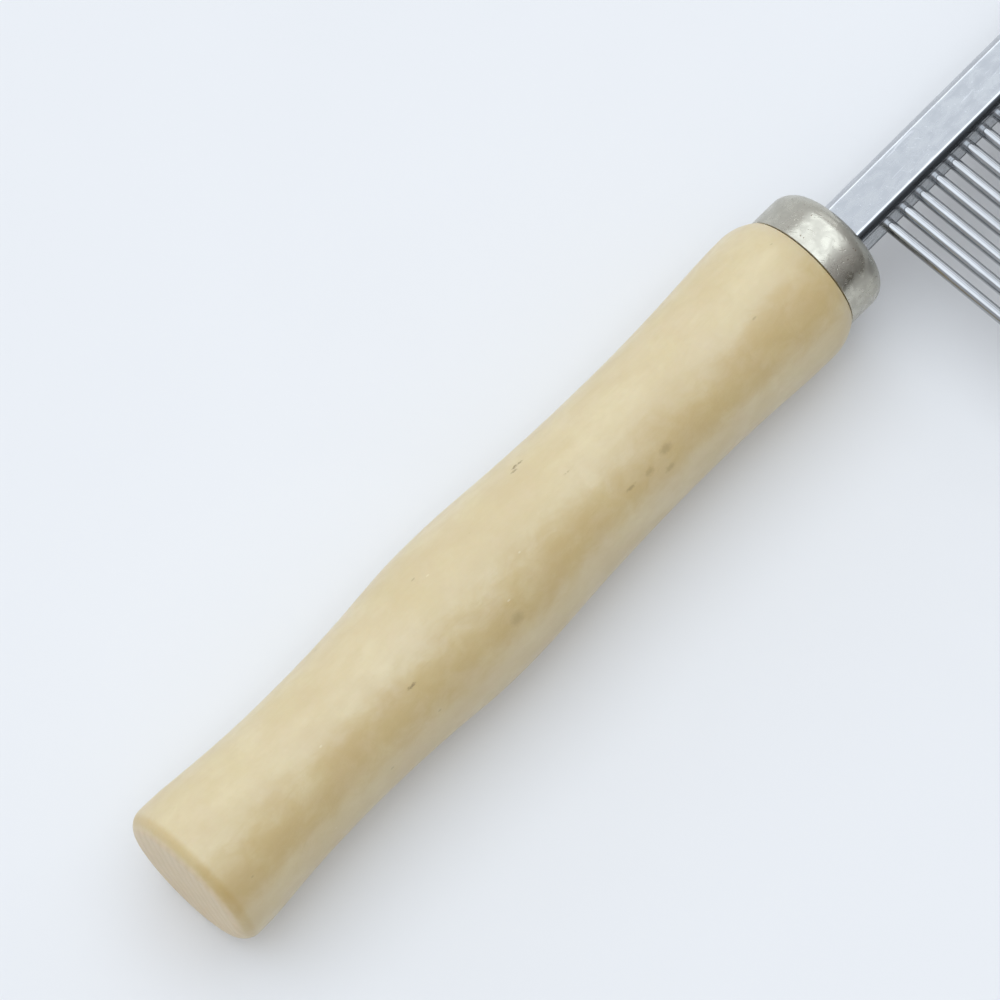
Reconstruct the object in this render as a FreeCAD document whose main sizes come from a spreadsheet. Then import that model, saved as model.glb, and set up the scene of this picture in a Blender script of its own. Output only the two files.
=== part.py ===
"""Grooming comb: turned wooden handle, pressed ferrule, square steel bar and a row of round pins.

Frame: the origin is the centre of the handle's flat butt end.  +X runs along the handle to the
tip of the bar, the pins point along -Y, and +Z is square to the plane of the comb.
Lengths are millimetres.
"""
import FreeCAD, Part
import math
import os

import Sketcher

Vector = FreeCAD.Vector

# ---------------------------------------------------------------- driving sizes

SIZES = {
    # turned handle
    "handle_length": 103.4,        # butt face to the shoulder that the ferrule faces
    "belly_diameter": 20.0,        # thickest place, in the middle of the grip
    "belly_from_butt": 45.8,
    "butt_drop": 0.2,              # how far the butt's surface lies below the belly's
    "butt_round": 2.2,             # rounding of the butt's edge
    "lower_waist_depth": 1.15,     # hollow between butt and belly, below the belly
    "lower_waist_from_butt": 21.5,
    "upper_waist_depth": 1.12,     # hollow between belly and shoulder, below the belly
    "upper_waist_from_shoulder": 26.8,
    "shoulder_drop": 0.32,
    "shoulder_round": 6.7,         # rounding that runs down to the ferrule
    "crest_share": 0.28,           # tightness of the crests: share of each curve that is convex
    # pressed ferrule
    "ferrule_step": 1.25,          # how far the ferrule's surface lies below the shoulder's
    "ferrule_length": 6.6,         # shoulder face to the ferrule's front face
    "ferrule_wall": 0.6,
    "ferrule_rim_round": 2.6,
    "ferrule_gap": 0.15,           # open line between the wood and the ferrule's back edge
    "tenon_fit": 0.02,             # between the wooden tenon and the ferrule's wall
    # square bar with its tang
    "bar_width": 6.35,
    "bar_edge_round": 1.1,
    "bar_fit": 0.05,               # between the bar and the ferrule's square hole
    "tang_length": 45.0,
    "tang_root_width": 4.4,
    "tang_tip_width": 2.4,
    "tang_fit": 0.02,
    # round pins
    "pin_count": 29,
    "pin_pitch": 2.82,
    "pin_diameter": 1.6,
    "pin_length": 30.0,            # from the bar's face to the end of the tip
    "pin_seat_depth": 4.4,         # how deep a pin sits in the bar
    "pin_fit": 0.01,
    "pin_taper_length": 5.0,
    "pin_tip_diameter": 0.9,
    "first_pin_from_ferrule": 5.5,
    "last_pin_from_end": 5.5,
}


class Size:
    """A length with its number and the sheet expression that gives it."""

    def __init__(self, number, text):
        self.number = number
        self.text = text

    def combined(self, sign, other, number):
        other_text = other.text if isinstance(other, Size) else str(other)
        return Size(number, f"({self.text} {sign} {other_text})")

    def __add__(self, other):
        return self.combined("+", other, self.number + plain(other))

    def __sub__(self, other):
        return self.combined("-", other, self.number - plain(other))

    def __mul__(self, other):
        return self.combined("*", other, self.number * plain(other))

    def __truediv__(self, other):
        return self.combined("/", other, self.number / plain(other))


def plain(value):
    return value.number if isinstance(value, Size) else value


def root(value):
    return Size(math.sqrt(value.number), f"sqrt({value.text})")


def make_sheet(doc):
    """Writes the driving sizes into the sheet and returns them by name."""
    sheet = doc.addObject("Spreadsheet::Sheet", "Sizes")
    named = {}
    for row, (name, number) in enumerate(SIZES.items(), start=1):
        sheet.set(f"A{row}", name)
        sheet.set(f"B{row}", str(number))
        sheet.setAlias(f"B{row}", name)
        named[name] = Size(number, f"Sizes.{name}")
    return named


# ---------------------------------------------------------------- sketch helpers

ORIGIN = (-1, 1)                   # the sketch's own origin point
START, END, CENTRE = 1, 2, 3       # the points of a sketch edge
ACROSS_AXIS, HEIGHT_AXIS = -1, -2  # the sketch's own horizontal and vertical axes
SAME_DIRECTION = 1e-6              # largest miss at which two directions count as one


def make_body(doc, label):
    body = doc.addObject("PartDesign::Body", label)
    body.Label = label
    return body


def make_sketch(body, name, plane_role, offset=None):
    """A sketch on one of the body's own origin planes, moved along its normal by offset."""
    sketch = body.newObject("Sketcher::SketchObject", name)
    plane = next(item for item in body.Origin.OriginFeatures if item.Role == plane_role)
    sketch.AttachmentSupport = (plane, [""])
    sketch.MapMode = "FlatFace"
    if offset is not None:
        bind(sketch, "AttachmentOffset.Base.z", offset)
    return sketch


def bind(item, path, size):
    item.setExpression(path, size.text)


def add_line(sketch, start, end):
    return sketch.addGeometry(Part.LineSegment(Vector(*start), Vector(*end)))


def add_arc(sketch, centre, start, end):
    """An arc that runs anticlockwise about its centre from start to end."""
    radius = math.dist(centre, start)
    circle = Part.Circle(Vector(*centre), Vector(0, 0, 1), radius)
    angles = [math.atan2(y - centre[1], x - centre[0]) for x, y in (start, end)]
    if angles[1] < angles[0]:
        angles[1] += 2 * math.pi
    return sketch.addGeometry(Part.ArcOfCircle(circle, *angles))


def moved(point, step):
    return (point[0] + step[0], point[1] + step[1])


def join(sketch, first, second):
    sketch.addConstraint(Sketcher.Constraint("Coincident", *first, *second))


def smooth(sketch, first, second):
    """Joins two edge ends with a common tangent."""
    sketch.addConstraint(Sketcher.Constraint("Tangent", *first, *second))


def dimension(sketch, kind, name, size, *points):
    """A driving dimension that follows the sheet."""
    index = sketch.addConstraint(Sketcher.Constraint(kind, *points, size.number))
    sketch.renameConstraint(index, name)
    bind(sketch, f"Constraints.{name}", size)


def place_point(sketch, name, point, across=None, height=None):
    """Holds a point at its distances from the sketch's origin."""
    if across is not None:
        dimension(sketch, "DistanceX", f"{name}_across", across, *ORIGIN, *point)
    if height is not None:
        dimension(sketch, "DistanceY", f"{name}_height", height, *ORIGIN, *point)


def add_square(sketch, width):
    """A square centred on the sketch's origin."""
    half = width.number / 2
    corners = [(-half, -half), (half, -half), (half, half), (-half, half)]
    edges = [add_line(sketch, corners[k], corners[(k + 1) % 4]) for k in range(4)]
    for k in range(4):
        join(sketch, (edges[k], END), (edges[(k + 1) % 4], START))
        level = "Horizontal" if k % 2 == 0 else "Vertical"
        sketch.addConstraint(Sketcher.Constraint(level, edges[k]))
    sketch.addConstraint(
        Sketcher.Constraint("Symmetric", edges[0], START, edges[1], END, *ORIGIN))
    dimension(sketch, "DistanceX", "width", width, edges[0], START, edges[0], END)
    dimension(sketch, "DistanceY", "height", width, edges[1], START, edges[1], END)


def add_rounded_square(sketch, width, corner):
    """A square with rounded corners, centred on the sketch's origin."""
    between = width - corner * 2
    reach, radius = between.number / 2, corner.number
    centres = [(reach, -reach), (reach, reach), (-reach, reach), (-reach, -reach)]
    outward = [(0, -radius), (radius, 0), (0, radius), (-radius, 0)]
    sides, arcs = [], []
    for k, centre in enumerate(centres):
        side_end = moved(centre, outward[k])
        sides.append(add_line(sketch, moved(centres[k - 1], outward[k]), side_end))
        arcs.append(add_arc(sketch, centre, side_end, moved(centre, outward[(k + 1) % 4])))
    for k in range(4):
        smooth(sketch, (sides[k], END), (arcs[k], START))
        smooth(sketch, (arcs[k], END), (sides[(k + 1) % 4], START))
        if k:
            sketch.addConstraint(Sketcher.Constraint("Equal", arcs[0], arcs[k]))
    sketch.addConstraint(Sketcher.Constraint("Horizontal", sides[0]))
    sketch.addConstraint(Sketcher.Constraint("Vertical", sides[1]))
    sketch.addConstraint(
        Sketcher.Constraint("Symmetric", arcs[0], CENTRE, arcs[2], CENTRE, *ORIGIN))
    dimension(sketch, "Radius", "corner", corner, arcs[0])
    dimension(sketch, "DistanceX", "width", between, arcs[3], CENTRE, arcs[0], CENTRE)
    dimension(sketch, "DistanceY", "height", between, arcs[0], CENTRE, arcs[1], CENTRE)


def revolve(body, sketch, axis):
    feature = body.newObject("PartDesign::Revolution", sketch.Name + "_turned")
    feature.Profile = sketch
    feature.ReferenceAxis = (sketch, [axis])
    feature.Angle = 360
    return feature


def edges_along(shape, direction):
    """Names of the straight edges that run along a direction."""
    names = []
    for index, edge in enumerate(shape.Edges, start=1):
        if edge.Curve.TypeId != "Part::GeomLine":
            continue
        if abs(abs(edge.Curve.Direction.dot(direction)) - 1) < SAME_DIRECTION:
            names.append(f"Edge{index}")
    return names


# ---------------------------------------------------------------- pieces

def add_crest_and_waist(sketch, left, right, left_is_crest, share):
    """Two arcs from left to right that meet with a common tangent.

    Both ends are level.  The convex arc takes the given share of the curve, so its radius is that
    share of the sum of the two radii.  Returns both arcs, each as (edge, left end, right end).
    """
    across = right[0] - left[0]
    drop = left[1] - right[1] if left_is_crest else right[1] - left[1]
    both_radii = (across * across + drop * drop) / (drop * 2)
    crest_radius = both_radii * share
    crest, waist = (left, right) if left_is_crest else (right, left)
    crest_top = (crest[0].number, crest[1].number)
    waist_low = (waist[0].number, waist[1].number)
    crest_centre = (crest_top[0], crest_top[1] - crest_radius.number)
    waist_centre = (waist_low[0], waist_low[1] + both_radii.number - crest_radius.number)
    turn = tuple(c + (w - c) * share.number for c, w in zip(crest_centre, waist_centre))
    if left_is_crest:
        convex = add_arc(sketch, crest_centre, turn, crest_top)
        hollow = add_arc(sketch, waist_centre, turn, waist_low)
        pieces = [(convex, END, START), (hollow, START, END)]
    else:
        hollow = add_arc(sketch, waist_centre, waist_low, turn)
        convex = add_arc(sketch, crest_centre, crest_top, turn)
        pieces = [(hollow, START, END), (convex, END, START)]
    smooth(sketch, (pieces[0][0], pieces[0][2]), (pieces[1][0], pieces[1][1]))
    dimension(sketch, "Radius", f"crest_{convex}_radius", crest_radius, convex)
    level_end = (hollow, END) if left_is_crest else (convex, START)
    sketch.addConstraint(
        Sketcher.Constraint("Vertical", level_end[0], CENTRE, level_end[0], level_end[1]))
    return pieces


def draw_handle_outline(sketch, size, radius):
    """Half section of the handle from the butt to the tenon inside the ferrule."""
    zero = size["handle_length"] * 0
    butt_round = size["butt_round"]
    shoulder_round = size["shoulder_round"]
    step = size["ferrule_step"]
    shoulder = size["handle_length"]
    crest_back = root(shoulder_round * step * 2 - step * step)
    tenon_end = shoulder + size["ferrule_length"] - size["ferrule_wall"]
    tenon_round = size["ferrule_rim_round"]
    stations = [
        (butt_round, radius["butt"]),
        (size["lower_waist_from_butt"], radius["lower_waist"]),
        (size["belly_from_butt"], radius["belly"]),
        (shoulder - size["upper_waist_from_shoulder"], radius["upper_waist"]),
        (shoulder - crest_back, radius["shoulder"]),
    ]

    flat = radius["butt"] - butt_round
    butt_face = add_line(sketch, (0, 0), (0, flat.number))
    butt_edge = add_arc(sketch, (butt_round.number, flat.number),
                        (butt_round.number, radius["butt"].number), (0, flat.number))
    join(sketch, (butt_face, START), ORIGIN)
    sketch.addConstraint(Sketcher.Constraint("Vertical", butt_face))
    smooth(sketch, (butt_face, END), (butt_edge, END))
    sketch.addConstraint(Sketcher.Constraint("Vertical", butt_edge, CENTRE, butt_edge, START))
    dimension(sketch, "Radius", "butt_round", butt_round, butt_edge)
    place_point(sketch, "butt", (butt_edge, START), height=radius["butt"])

    last = (butt_edge, START)
    for number, (left, right) in enumerate(zip(stations, stations[1:])):
        first, second = add_crest_and_waist(sketch, left, right, number % 2 == 0,
                                            size["crest_share"])
        smooth(sketch, last, (first[0], first[1]))
        last = (second[0], second[2])
        if number < 3:
            place_point(sketch, f"station_{number}", last, across=right[0], height=right[1])

    ferrule_radius = radius["ferrule"]
    shoulder_centre = (stations[-1][0].number, (radius["shoulder"] - shoulder_round).number)
    shoulder_edge = add_arc(sketch, shoulder_centre,
                            (shoulder.number, ferrule_radius.number),
                            (stations[-1][0].number, radius["shoulder"].number))
    smooth(sketch, last, (shoulder_edge, END))
    dimension(sketch, "Radius", "shoulder_round", shoulder_round, shoulder_edge)
    place_point(sketch, "shoulder", (shoulder_edge, START), shoulder, ferrule_radius)
    place_point(sketch, "shoulder_crest", last, height=radius["shoulder"])

    tenon = radius["tenon"]
    tenon_flat = tenon - tenon_round
    rounding = tenon_end - tenon_round
    path = [(shoulder, ferrule_radius), (shoulder, tenon), (rounding, tenon),
            (tenon_end, tenon_flat), (tenon_end, zero), (zero, zero)]
    spots = [(across.number, height.number) for across, height in path]
    shoulder_face = add_line(sketch, spots[0], spots[1])
    tenon_side = add_line(sketch, spots[1], spots[2])
    tenon_edge = add_arc(sketch, (rounding.number, tenon_flat.number), spots[3], spots[2])
    tenon_face = add_line(sketch, spots[3], spots[4])
    axis_line = add_line(sketch, spots[4], spots[5])
    join(sketch, (shoulder_edge, START), (shoulder_face, START))
    join(sketch, (shoulder_face, END), (tenon_side, START))
    smooth(sketch, (tenon_side, END), (tenon_edge, END))
    smooth(sketch, (tenon_edge, START), (tenon_face, START))
    join(sketch, (tenon_face, END), (axis_line, START))
    join(sketch, (axis_line, END), (butt_face, START))
    for level, edge in (("Vertical", shoulder_face), ("Horizontal", tenon_side),
                        ("Vertical", tenon_face), ("Horizontal", axis_line)):
        sketch.addConstraint(Sketcher.Constraint(level, edge))
    dimension(sketch, "Radius", "tenon_round", tenon_round, tenon_edge)
    place_point(sketch, "tenon", (tenon_side, START), height=tenon)
    place_point(sketch, "tenon_end", (tenon_face, END), across=tenon_end)


def make_handle(doc, size, radius):
    """The turned wooden handle, with the tapered hole that the tang is driven into."""
    body = make_body(doc, "handle")
    outline = make_sketch(body, "handle_outline", "XZ_Plane")
    draw_handle_outline(outline, size, radius)
    revolve(body, outline, "H_Axis")
    doc.recompute()

    mouth = size["handle_length"] + size["ferrule_length"] - size["ferrule_wall"]
    both_sides = size["tang_fit"] * 2
    wide = make_sketch(body, "tang_hole_mouth", "YZ_Plane", mouth)
    add_square(wide, size["tang_root_width"] + both_sides)
    narrow = make_sketch(body, "tang_hole_end", "YZ_Plane", mouth - size["tang_length"])
    add_square(narrow, size["tang_tip_width"] + both_sides)
    hole = body.newObject("PartDesign::SubtractiveLoft", "tang_hole")
    hole.Profile = wide
    hole.Sections = [narrow]
    hole.Ruled = True
    return body


def make_ferrule(doc, size, radius):
    """The pressed cap on the tenon, with a rounded rim and a square hole for the bar."""
    body = make_body(doc, "ferrule")
    bind(body, "Placement.Base.x", size["handle_length"] + size["ferrule_gap"])
    front = size["ferrule_length"] - size["ferrule_gap"]
    wall = size["ferrule_wall"]
    outer = radius["ferrule"]
    inner = outer - wall
    rim_round = size["ferrule_rim_round"]
    inner_round = rim_round - wall
    rim_start = (front - rim_round).number
    rim_height = (outer - rim_round).number

    sketch = make_sketch(body, "ferrule_section", "XZ_Plane")
    back = add_line(sketch, (0, inner.number), (0, outer.number))
    outside = add_line(sketch, (0, outer.number), (rim_start, outer.number))
    outer_rim = add_arc(sketch, (rim_start, rim_height),
                        (front.number, rim_height), (rim_start, outer.number))
    face = add_line(sketch, (front.number, rim_height), (front.number, 0))
    axis_line = add_line(sketch, (front.number, 0), ((front - wall).number, 0))
    inside_face = add_line(sketch, ((front - wall).number, 0),
                           ((front - wall).number, rim_height))
    inner_rim = add_arc(sketch, (rim_start, rim_height),
                        ((front - wall).number, rim_height), (rim_start, inner.number))
    inside = add_line(sketch, (rim_start, inner.number), (0, inner.number))

    join(sketch, (back, END), (outside, START))
    smooth(sketch, (outside, END), (outer_rim, END))
    smooth(sketch, (outer_rim, START), (face, START))
    join(sketch, (face, END), (axis_line, START))
    join(sketch, (axis_line, END), (inside_face, START))
    smooth(sketch, (inside_face, END), (inner_rim, START))
    smooth(sketch, (inner_rim, END), (inside, START))
    join(sketch, (inside, END), (back, START))
    sketch.addConstraint(Sketcher.Constraint("PointOnObject", back, START, HEIGHT_AXIS))
    for level, edge in (("Vertical", back), ("Horizontal", outside), ("Vertical", face),
                        ("Vertical", inside_face)):
        sketch.addConstraint(Sketcher.Constraint(level, edge))
    sketch.addConstraint(Sketcher.Constraint("PointOnObject", face, END, ACROSS_AXIS))
    sketch.addConstraint(Sketcher.Constraint("PointOnObject", axis_line, END, ACROSS_AXIS))
    dimension(sketch, "Radius", "rim_round", rim_round, outer_rim)
    dimension(sketch, "Radius", "inner_rim_round", inner_round, inner_rim)
    place_point(sketch, "outside", (back, END), height=outer)
    place_point(sketch, "inside", (back, START), height=inner)
    place_point(sketch, "front", (face, END), across=front)
    place_point(sketch, "front_inside", (axis_line, END), across=front - wall)
    revolve(body, sketch, "H_Axis")
    doc.recompute()

    square = make_sketch(body, "bar_hole_section", "YZ_Plane", front)
    add_rounded_square(square, size["bar_width"] + size["bar_fit"] * 2,
                       size["bar_edge_round"] + size["bar_fit"])
    hole = body.newObject("PartDesign::Pocket", "bar_hole")
    hole.Profile = square
    bind(hole, "Length", rim_round)
    return body


def make_bar(doc, size):
    """The square bar that holds the pins, with a tapered tang behind its shoulder."""
    body = make_body(doc, "comb_bar")
    bind(body, "Placement.Base.x",
         size["handle_length"] + size["ferrule_length"] - size["ferrule_wall"])
    first_pin = size["ferrule_wall"] + size["first_pin_from_ferrule"]
    pin_span = size["pin_pitch"] * (size["pin_count"] - 1)
    width = size["bar_width"]

    section = make_sketch(body, "bar_section", "YZ_Plane")
    add_square(section, width)
    bar = body.newObject("PartDesign::Pad", "bar")
    bar.Profile = section
    bind(bar, "Length", first_pin + pin_span + size["last_pin_from_end"])
    doc.recompute()

    softened = body.newObject("PartDesign::Fillet", "bar_edges")
    far_end = bar.Shape.BoundBox.XMax
    at_far_end = [f"Edge{number}" for number, edge in enumerate(bar.Shape.Edges, start=1)
                  if edge.BoundBox.XMin > far_end - width.number / 2]
    softened.Base = (bar, edges_along(bar.Shape, Vector(1, 0, 0)) + at_far_end)
    bind(softened, "Radius", size["bar_edge_round"])
    doc.recompute()

    tang_root = make_sketch(body, "tang_root", "YZ_Plane")
    add_square(tang_root, size["tang_root_width"])
    tang_tip = make_sketch(body, "tang_tip", "YZ_Plane", size["tang_length"] * -1)
    add_square(tang_tip, size["tang_tip_width"])
    tang = body.newObject("PartDesign::AdditiveLoft", "tang")
    tang.Profile = tang_root
    tang.Sections = [tang_tip]
    tang.Ruled = True
    doc.recompute()

    hole_circle = make_sketch(body, "pin_hole_circle", "XZ_Plane", width / 2)
    hole_diameter = size["pin_diameter"] + size["pin_fit"] * 2
    circle = hole_circle.addGeometry(Part.Circle(
        Vector(first_pin.number, 0, 0), Vector(0, 0, 1), hole_diameter.number / 2))
    dimension(hole_circle, "Diameter", "hole_diameter", hole_diameter, circle)
    hole_circle.addConstraint(Sketcher.Constraint("PointOnObject", circle, CENTRE, ACROSS_AXIS))
    place_point(hole_circle, "hole", (circle, CENTRE), across=first_pin)
    pin_hole = body.newObject("PartDesign::Pocket", "pin_hole")
    pin_hole.Profile = hole_circle
    bind(pin_hole, "Length", size["pin_seat_depth"])
    doc.recompute()

    row = body.newObject("PartDesign::LinearPattern", "pin_hole_row")
    row.Originals = [pin_hole]
    row.Direction = (hole_circle, ["H_Axis"])
    bind(row, "Length", pin_span)
    bind(row, "Occurrences", size["pin_count"])
    body.Tip = row
    return body


def make_pin(doc, size, number):
    """One round pin: a plain stem in the bar, then a taper to a rounded tip."""
    body = make_body(doc, f"pin_{number:02d}")
    start = size["handle_length"] + size["ferrule_length"] + size["first_pin_from_ferrule"]
    bind(body, "Placement.Base.x", start + size["pin_pitch"] * (number - 1))
    bind(body, "Placement.Base.y", size["bar_width"] / -2)
    stem = size["pin_diameter"] / 2
    tip = size["pin_tip_diameter"] / 2
    seat = size["pin_seat_depth"]
    taper_start = (size["pin_length"] - size["pin_taper_length"]) * -1
    tip_start = (size["pin_length"] - tip) * -1

    sketch = make_sketch(body, f"pin_{number:02d}_outline", "XY_Plane")
    end = add_line(sketch, (0, seat.number), (stem.number, seat.number))
    side = add_line(sketch, (stem.number, seat.number), (stem.number, taper_start.number))
    taper = add_line(sketch, (stem.number, taper_start.number), (tip.number, tip_start.number))
    nose = add_arc(sketch, (0, tip_start.number), (0, (tip_start - tip).number),
                   (tip.number, tip_start.number))
    axis_line = add_line(sketch, (0, (tip_start - tip).number), (0, seat.number))
    join(sketch, (end, END), (side, START))
    join(sketch, (side, END), (taper, START))
    join(sketch, (taper, END), (nose, END))
    join(sketch, (nose, START), (axis_line, START))
    join(sketch, (axis_line, END), (end, START))
    sketch.addConstraint(Sketcher.Constraint("Horizontal", end))
    sketch.addConstraint(Sketcher.Constraint("Vertical", side))
    for edge, point in ((end, START), (nose, CENTRE), (nose, START)):
        sketch.addConstraint(Sketcher.Constraint("PointOnObject", edge, point, HEIGHT_AXIS))
    dimension(sketch, "Radius", "tip_radius", tip, nose)
    place_point(sketch, "stem", (end, END), stem, seat)
    place_point(sketch, "taper_start", (side, END), height=taper_start)
    place_point(sketch, "tip_start", (nose, END), height=tip_start)
    sketch.addConstraint(Sketcher.Constraint("Horizontal", nose, CENTRE, nose, END))
    revolve(body, sketch, "V_Axis")
    return body


# ---------------------------------------------------------------- whole comb

def handle_radii(size):
    """Radii of the turned pieces at their crests, hollows and steps."""
    belly = size["belly_diameter"] / 2
    shoulder = belly - size["shoulder_drop"]
    ferrule = shoulder - size["ferrule_step"]
    return {
        "belly": belly,
        "butt": belly - size["butt_drop"],
        "lower_waist": belly - size["lower_waist_depth"],
        "upper_waist": belly - size["upper_waist_depth"],
        "shoulder": shoulder,
        "ferrule": ferrule,
        "tenon": ferrule - size["ferrule_wall"] - size["tenon_fit"],
    }


def check_document(doc, bodies):
    faults = [f"{item.Name}: {item.State}" for item in doc.Objects
              if {"Invalid", "Error"} & set(item.State)]
    for body in bodies:
        if body.Shape.isNull() or not body.Shape.isValid():
            faults.append(f"{body.Label}: no valid shape")
        elif len(body.Shape.Solids) != 1:
            faults.append(f"{body.Label}: {len(body.Shape.Solids)} solids")
    if faults:
        raise RuntimeError("; ".join(faults))


def main():
    doc = FreeCAD.newDocument("grooming_comb")
    size = make_sheet(doc)
    doc.recompute()
    radius = handle_radii(size)
    bodies = [make_handle(doc, size, radius), make_ferrule(doc, size, radius),
              make_bar(doc, size)]
    for number in range(1, SIZES["pin_count"] + 1):
        bodies.append(make_pin(doc, size, number))
    doc.recompute()
    check_document(doc, bodies)

    os.makedirs("parts", exist_ok=True)
    for body in bodies:
        body.Shape.exportStep(f"parts/{body.Label}.step")
        box = body.Shape.BoundBox
        print(f"{body.Label}: {body.Shape.Volume:.1f} mm3,"
              f" X {box.XMin:.2f} to {box.XMax:.2f}, Y {box.YMin:.2f} to {box.YMax:.2f},"
              f" Z {box.ZMin:.2f} to {box.ZMax:.2f}")


main()
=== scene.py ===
import math

import bpy
from mathutils import Matrix, Quaternion, Vector, noise


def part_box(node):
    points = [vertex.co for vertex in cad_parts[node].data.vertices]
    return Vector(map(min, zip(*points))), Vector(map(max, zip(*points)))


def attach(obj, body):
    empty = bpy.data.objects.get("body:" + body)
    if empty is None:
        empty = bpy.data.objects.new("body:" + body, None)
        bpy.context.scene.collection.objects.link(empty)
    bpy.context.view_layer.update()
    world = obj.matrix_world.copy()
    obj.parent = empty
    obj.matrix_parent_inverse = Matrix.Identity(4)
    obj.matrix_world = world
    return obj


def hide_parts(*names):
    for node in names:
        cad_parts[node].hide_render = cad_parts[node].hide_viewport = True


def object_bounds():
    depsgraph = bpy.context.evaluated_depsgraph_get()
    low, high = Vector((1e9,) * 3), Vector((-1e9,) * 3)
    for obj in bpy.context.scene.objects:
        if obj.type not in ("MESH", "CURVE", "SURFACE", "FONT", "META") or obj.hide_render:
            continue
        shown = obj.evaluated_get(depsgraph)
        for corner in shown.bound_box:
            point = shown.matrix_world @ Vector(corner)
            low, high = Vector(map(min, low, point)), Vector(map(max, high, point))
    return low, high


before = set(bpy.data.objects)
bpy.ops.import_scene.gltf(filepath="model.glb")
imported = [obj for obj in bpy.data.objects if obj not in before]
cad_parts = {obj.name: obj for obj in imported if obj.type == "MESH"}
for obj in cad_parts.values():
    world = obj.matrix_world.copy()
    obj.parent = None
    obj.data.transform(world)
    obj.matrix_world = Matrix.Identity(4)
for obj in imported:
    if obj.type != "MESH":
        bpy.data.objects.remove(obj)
cad_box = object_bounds()

MM = 0.001
WHOLE_TURN = 2 * math.pi
SAME_PLACE = 0.002 * MM       # corners this close along the axis are at one place
SAME_RING = 0.01 * MM         # corners this close along the axis are on one ring
SHARP_EDGE = math.radians(40) # edges that turn by more than this stay crisp

# The frame: the butt face's centre is the origin, +X runs along the handle to the
# free end of the bar, -Y is the way the pins point, and +Z is square to the comb.
HANDLE = "handle"
FERRULE = "ferrule"
BAR = "comb_bar"
PINS = sorted(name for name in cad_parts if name.startswith("pin_"))


# ---------------------------------------------------------------- reading the frame

def corners(node):
    """The corners of a CAD node's mesh, each with its place along the axis and its reach from it."""
    found = []
    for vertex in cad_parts[node].data.vertices:
        along, aside, up = vertex.co
        found.append((along, math.hypot(aside, up)))
    return found


def reach_at(node, place):
    """(smallest, largest) distance from the axis of a node's corners at one place along it."""
    found = [reach for along, reach in corners(node) if abs(along - place) < SAME_PLACE]
    return min(found), max(found)


def widest_between(node, low, high):
    """The largest |y| of a node's corners between two places along the axis."""
    inside = [v.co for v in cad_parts[node].data.vertices if low <= v.co.x <= high]
    return max(abs(place.y) for place in inside)


def turned_outline(node, low, high, hole_reach):
    """The outer outline of a turned node between two places: (along, radius), one for each ring."""
    rings = {}
    for along, reach in corners(node):
        if low <= along <= high and reach > hole_reach:
            key = round(along / SAME_RING)
            rings[key] = max(rings.get(key, (along, 0)), (along, reach), key=lambda found: found[1])
    return [rings[key] for key in sorted(rings)]


# ---------------------------------------------------------------- mesh helpers

def smooth_path(points, step):
    """Points about one step apart on a smooth curve through the given ones."""
    path = []
    last = len(points) - 1
    for index in range(last):
        before = Vector(points[max(index - 1, 0)])
        start = Vector(points[index])
        end = Vector(points[index + 1])
        after = Vector(points[min(index + 2, last)])
        length = (end - start).length
        leaving = (end - before) * (length / max((end - before).length, length))
        arriving = (after - start) * (length / max((after - start).length, length))
        pieces = max(1, math.ceil(length / step))
        for piece in range(pieces):
            share = piece / pieces
            path.append(hermite(start, end, leaving, arriving, share))
    path.append(Vector(points[last]))
    return path


def hermite(start, end, leaving, arriving, share):
    """A point on the cubic from start to end with the given end slopes."""
    square = share * share
    cube = square * share
    return (
        start * (2 * cube - 3 * square + 1)
        + leaving * (cube - 2 * square + share)
        + end * (3 * square - 2 * cube)
        + arriving * (cube - square)
    )


def arc(centre, radius, start_angle, end_angle, steps):
    """Points (along, radius) on an arc in the outline's plane. Angles are in degrees from +X."""
    points = []
    for index in range(steps + 1):
        angle = math.radians(start_angle + (end_angle - start_angle) * index / steps)
        points.append((centre[0] + radius * math.cos(angle), centre[1] + radius * math.sin(angle)))
    return points


def square_reach(half_width, corner):
    """A function that gives the distance from a rounded square's centre to its edge at an angle."""
    middle = half_width - corner
    flat_end = math.atan2(middle, half_width)
    side = WHOLE_TURN / 4

    def reach(angle):
        folded = angle % side
        folded = min(folded, side - folded)
        if folded <= flat_end:
            return half_width / math.cos(folded)
        toward = middle * (math.cos(folded) + math.sin(folded))
        return toward + math.sqrt(toward * toward - 2 * middle * middle + corner * corner)
    return reach


def ring(along, reach, count):
    """Points round the axis. reach is a radius, or a function that gives it for an angle."""
    points = []
    for index in range(count):
        angle = WHOLE_TURN * index / count
        radius = reach(angle) if callable(reach) else reach
        points.append((along, radius * math.cos(angle), radius * math.sin(angle)))
    return points


def mesh_from_rings(name, rings, close_start=False, close_end=False, join_ends=False):
    """A mesh with quads between rings of the same count, and an end filled by a fan round its middle."""
    count = len(rings[0])
    vertices = [point for points in rings for point in points]
    faces = []
    pairs = list(zip(range(len(rings) - 1), range(1, len(rings))))
    if join_ends:
        pairs.append((len(rings) - 1, 0))
    for this, following in pairs:
        for index in range(count):
            neighbour = (index + 1) % count
            faces.append((
                this * count + index,
                this * count + neighbour,
                following * count + neighbour,
                following * count + index,
            ))
    if close_start:
        middle = len(vertices)
        vertices.append((rings[0][0][0], 0, 0))
        for index in range(count):
            faces.append((middle, (index + 1) % count, index))
    if close_end:
        middle = len(vertices)
        first = (len(rings) - 1) * count
        vertices.append((rings[-1][0][0], 0, 0))
        for index in range(count):
            faces.append((middle, first + index, first + (index + 1) % count))
    mesh = bpy.data.meshes.new(name)
    mesh.from_pydata(vertices, [], faces)
    mesh.validate()
    mesh.update()
    return mesh


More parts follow.
